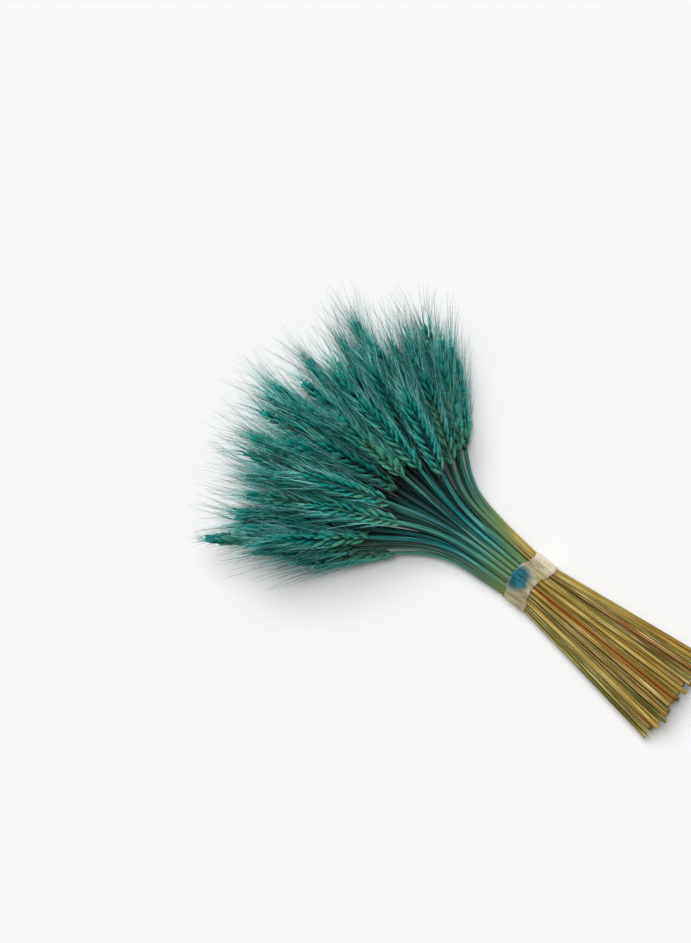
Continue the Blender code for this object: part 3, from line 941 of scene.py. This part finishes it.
def straw_finish():
    """Straw that took the dye above the tie and kept its own gold below it, streaked along its length, with
    painted shade on straws deep in the bunch and in the hollows between them.
    """
    finish, g, shader = new_finish("dyed straw")
    place = place_of(g)
    x = g.add("ShaderNodeSeparateXYZ", None, {"Vector": place})
    y = x.other("Y")
    arc, turn, stalk = g.attribute("arc"), g.attribute("turn"), g.attribute("stalk_shade")

    # Noise drawn out along each straw, and shifted from straw to straw
    angle = turn * (2 * math.pi)
    round_x, round_y = angle.math("COSINE") * ROUND, angle.math("SINE") * ROUND
    along_z = arc * ALONG + stalk * APART
    lengthwise = g.add("ShaderNodeCombineXYZ", None, {"X": round_x, "Y": round_y, "Z": along_z})
    fine = g.noise(lengthwise, FINE_STREAKS, 3.0)
    wide = g.noise(lengthwise, WIDE_BANDS)
    other = (stalk * 7.3).math("FRACT")
    dark_streak = (1 - fine).eased(0.50, 0.62) * 0.85

    # Bare straw, amber near the middle of the bunch
    gold = g.mixed(stalk.eased(0.15, 0.55), GOLD, OLIVE)
    gold = g.mixed(stalk.eased(0.60, 0.95), gold, DARK_OLIVE)
    gold = g.mixed(wide.eased(0.54, 0.66) * 0.8, gold, RUST)
    gold = g.mixed(fine.eased(0.55, 0.66), gold, CREAM_STREAK)
    gold = g.mixed(dark_streak, gold, BROWN_STREAK)
    amber = (1 - (y - AMBER_AT).math("ABSOLUTE") * AMBER_FADES).eased(0.0, 0.5)
    amber = amber * (0 - x).eased(0.0, 0.010)
    gold = g.mixed(amber * 0.7, gold, AMBER)

    # Dyed straw
    teal = g.mixed(stalk.eased(0.1, 0.9), TEAL_STRAW, GREEN_STRAW)
    teal = g.mixed(other.eased(0.72, 0.84) * 0.6, teal, GREY_STRAW)
    teal = g.mixed(wide.eased(0.52, 0.68), teal, INK_STRAW)
    teal = g.mixed(fine.eased(0.54, 0.68), teal, MINT_STREAK)
    teal = g.mixed(dark_streak, teal, DARK_STREAK)

    # From bare to dyed, by way of green
    edge = (0 - y).eased(*RIGHT_EDGE) * DYE_LATER
    reach = x - DYE_FROM - edge - (wide - 0.5) * DYE_RAGGED - other * DYE_DIFFERS
    dyed = reach.eased(0.0, DYE_FULL)
    between = g.mixed(reach.eased(-0.012, 0.010), gold, GREENISH)
    colour = g.mixed(dyed, between, teal)

    # Painted shade: darker colour on the straws that others hide, and darker still in the hollows between
    # them
    colour = g.mixed(painted_shade_share(g, x) * dyed * 0.66, colour, SHADED_STRAW)
    hollow = x.eased(*SHADED_HOLLOWS) * g.attribute("depth").eased(0.0, 0.25)
    colour = g.mixed(hollow * 0.9, colour, HOLLOW_SHADE)
    shader_link(g, shader, "Base Color", colour)
    shader_link(g, shader, "Roughness", 0.36 + 0.22 * fine)
    roughened(g, shader, fine, 0.35)
    shader.inputs["Specular IOR Level"].default_value = STRAW_GLOSS
    return finish


def husk_finish():
    """Dyed husks with some that stayed olive, painted shade at the foot and a painted highlight towards the
    tip, and painted shade on ears deep in the bunch.
    """
    finish, g, shader = new_finish("dyed husk")
    place = place_of(g)
    share, husk, shade = g.attribute("along"), g.attribute("husk_shade"), g.attribute("shade")
    stalk, up_ear = g.attribute("stalk_shade"), g.attribute("up_ear")
    mottle = g.noise(place, MOTTLE, 3.0)
    colour = g.mixed(shade, DULL_HUSK, BRIGHT_HUSK)
    # Painted highlight towards each husk's tip
    colour = g.mixed(share.eased(0.35, 1.0) * 0.65, colour, HUSK_TIP_HIGHLIGHT)
    # Painted shade at each husk's foot, most low on the ear
    colour = g.mixed((1 - share).eased(0.45, 0.95) * (0.95 - 0.55 * up_ear), colour, HUSK_FOOT_SHADE)
    colour = g.mixed(up_ear.eased(0.15, 0.75) * 0.5, colour, UPPER_HUSK)

    # Olive comes most at the foot of an ear
    olive = (husk * 0.4 + shade * 0.3 + (1 - up_ear) * 0.45 + stalk * 0.35).eased(0.62, 1.0)
    colour = g.mixed(olive * 0.6, colour, OLIVE_HUSK)
    colour = g.mixed(mottle.eased(0.50, 0.72) * 0.5, colour, HUSK_MOTTLE)
    x = g.add("ShaderNodeSeparateXYZ", None, {"Vector": place})
    # Painted shade on the ears of stalks deep in the bunch
    colour = g.mixed(painted_shade_share(g, x) * 0.85, colour, SHADED_HUSK)
    shader_link(g, shader, "Base Color", colour)
    shader_link(g, shader, "Roughness", 0.50 + 0.25 * mottle)
    roughened(g, shader, mottle, 0.4)
    shader.inputs["Specular IOR Level"].default_value = DRY_GLOSS
    return finish


def awn_finish():
    """Awns: each of its own tone at random, from dark teal to very pale with the palest as painted
    highlights, darkened by painted shade on stalks deep in the bunch, and drying to near black at the tip.
    """
    finish, g, shader = new_finish("dyed awn")
    share, shade, stalk = g.attribute("along"), g.attribute("shade"), g.attribute("stalk_shade")
    colour = g.mixed(shade.eased(0.0, 0.45), DARK_AWN, TEAL_AWN)
    # The palest awns, given at random, are painted highlights
    colour = g.mixed(shade.eased(0.42, 0.72), colour, PALE_AWN_HIGHLIGHT)
    colour = g.mixed(stalk.eased(0.6, 1.0) * 0.3, colour, BLUE_AWN)
    x = g.add("ShaderNodeSeparateXYZ", None, {"Vector": place_of(g)})
    # Painted shade on the awns of stalks deep in the bunch
    colour = g.mixed(painted_shade_share(g, x) * 0.7, colour, SHADED_AWN)
    colour = g.mixed(share.eased(0.50, 0.95) * 0.9, colour, DRY_TIP)
    shader_link(g, shader, "Base Color", colour)
    shader.inputs["Roughness"].default_value = 0.5
    shader.inputs["Specular IOR Level"].default_value = DRY_GLOSS
    return finish


def tape_finish():
    """Clear tape gone cream and cloudy, with a painted highlight that whitens its -Y side, and a patch of dye
    on top.
    """
    finish, g, shader = new_finish("clear tape")
    place = place_of(g)
    y = g.add("ShaderNodeSeparateXYZ", None, {"Vector": place}, "Y")
    cloud = g.noise(place * CLOUDS, 1.0, 3.0)
    fine = g.noise(place * THREADS, 1.0)
    away = (place - DYE_AT) * tuple(1 / reach for reach in DYE_REACH)
    away = g.add("ShaderNodeVectorMath", {"operation": "LENGTH"}, {0: away}, "Value")
    dyed = (1.0 - away + (cloud - 0.5) * 0.8).eased(-0.10, 0.50)
    # Painted highlight: the tape whiter and less clear towards its -Y side
    pale = (0 - y).eased(0.011, 0.018)
    cream = g.mixed(cloud.eased(0.35, 0.7), DULL_CREAM, CREAM)
    cream = g.mixed(fine.eased(0.50, 0.72) * 0.5, cream, CREAM_THREAD)
    cream = g.mixed(pale, cream, TAPE_HIGHLIGHT)
    dye = g.mixed(fine.eased(0.35, 0.65), DARK_DYE, DYE)
    shader_link(g, shader, "Base Color", g.mixed(dyed, cream, dye))
    shader_link(g, shader, "Roughness", 0.22 + 0.3 * cloud)

    # The straws show through least at the tape's edges, as a painted highlight along them, where it is dyed,
    # and under the painted highlight on its -Y side
    edge = g.attribute("across").math("ABSOLUTE").eased(0.44, 0.495)
    alpha = 0.20 + 0.22 * cloud.eased(0.35, 0.65) + 0.16 * fine + 0.20 * edge + 0.30 * pale
    shader_link(g, shader, "Alpha", (alpha + 0.5 * dyed).math("MINIMUM", 0.94))
    return finish


# The stage


def build_stage():
    """A pale floor, even light from all round, and one large soft lamp."""
    floor = bpy.data.meshes.new("floor")
    edge = [(x * FLOOR_REACH, y * FLOOR_REACH, 0) for x, y in ((-1, -1), (1, -1), (1, 1), (-1, 1))]
    floor.from_pydata(edge, [], [(0, 1, 2, 3)])
    finish, _, shader = new_finish("pale floor")
    shader.inputs["Base Color"].default_value = FLOOR_COLOUR
    shader.inputs["Roughness"].default_value = 0.9
    shader.inputs["Specular IOR Level"].default_value = 0.0
    floor.materials.append(finish)
    ground = bpy.data.objects.new("floor", floor)
    bpy.context.scene.collection.objects.link(ground)
    world = bpy.data.worlds.new("studio")
    world.use_nodes = True
    around = world.node_tree.nodes["Background"]
    around.inputs["Color"].default_value = (1, 1, 1, 1)
    around.inputs["Strength"].default_value = WORLD_LIGHT
    bpy.context.scene.world = world
    lamp = bpy.data.lights.new("key", "SUN")
    lamp.energy = KEY_LIGHT
    lamp.angle = KEY_SIZE
    light = bpy.data.objects.new("key", lamp)
    light.rotation_mode = "QUATERNION"
    light.rotation_quaternion = (-Vector(KEY_FROM)).to_track_quat("-Z", "Y")
    bpy.context.scene.collection.objects.link(light)


def build_camera():
    """Looks straight down, turned so that the bunch lies across the picture as in the photograph."""
    right = Vector((math.cos(IMAGE_TURN), -math.sin(IMAGE_TURN), 0))
    up = Vector((math.sin(IMAGE_TURN), math.cos(IMAGE_TURN), 0))
    below, beside = TIE_PIXEL[1] - IMAGE[1] / 2, TIE_PIXEL[0] - IMAGE[0] / 2
    middle = up * below * PIXEL - right * beside * PIXEL
    lens = bpy.data.cameras.new("camera")
    lens.lens = LENS
    distance = max(IMAGE) * PIXEL * LENS / lens.sensor_width
    axes = Matrix((right, up, Vector((0, 0, 1)))).transposed().to_4x4()
    camera = bpy.data.objects.new("camera", lens)
    camera.matrix_world = Matrix.Translation(middle + Vector((0, 0, TIE_HEIGHT + distance))) @ axes
    bpy.context.scene.collection.objects.link(camera)
    bpy.context.scene.camera = camera


bpy.context.scene.view_settings.view_transform = "Standard"
stalks = plant(np.random.RandomState(SEED))
draw = np.random.RandomState(SEED + 1)
tree = stalk_tree()
shapes = {"Spikelet Shapes": spikelet_shapes(draw), "Awn Shapes": awn_shapes()}
finishes = {"Straw": straw_finish(), "Husk": husk_finish(), "Awn": awn_finish()}
for stalk in stalks:
    build_stalk(stalk, tree, shapes, finishes, draw)
build_tape(tape_finish(), draw)
build_stage()
build_camera()
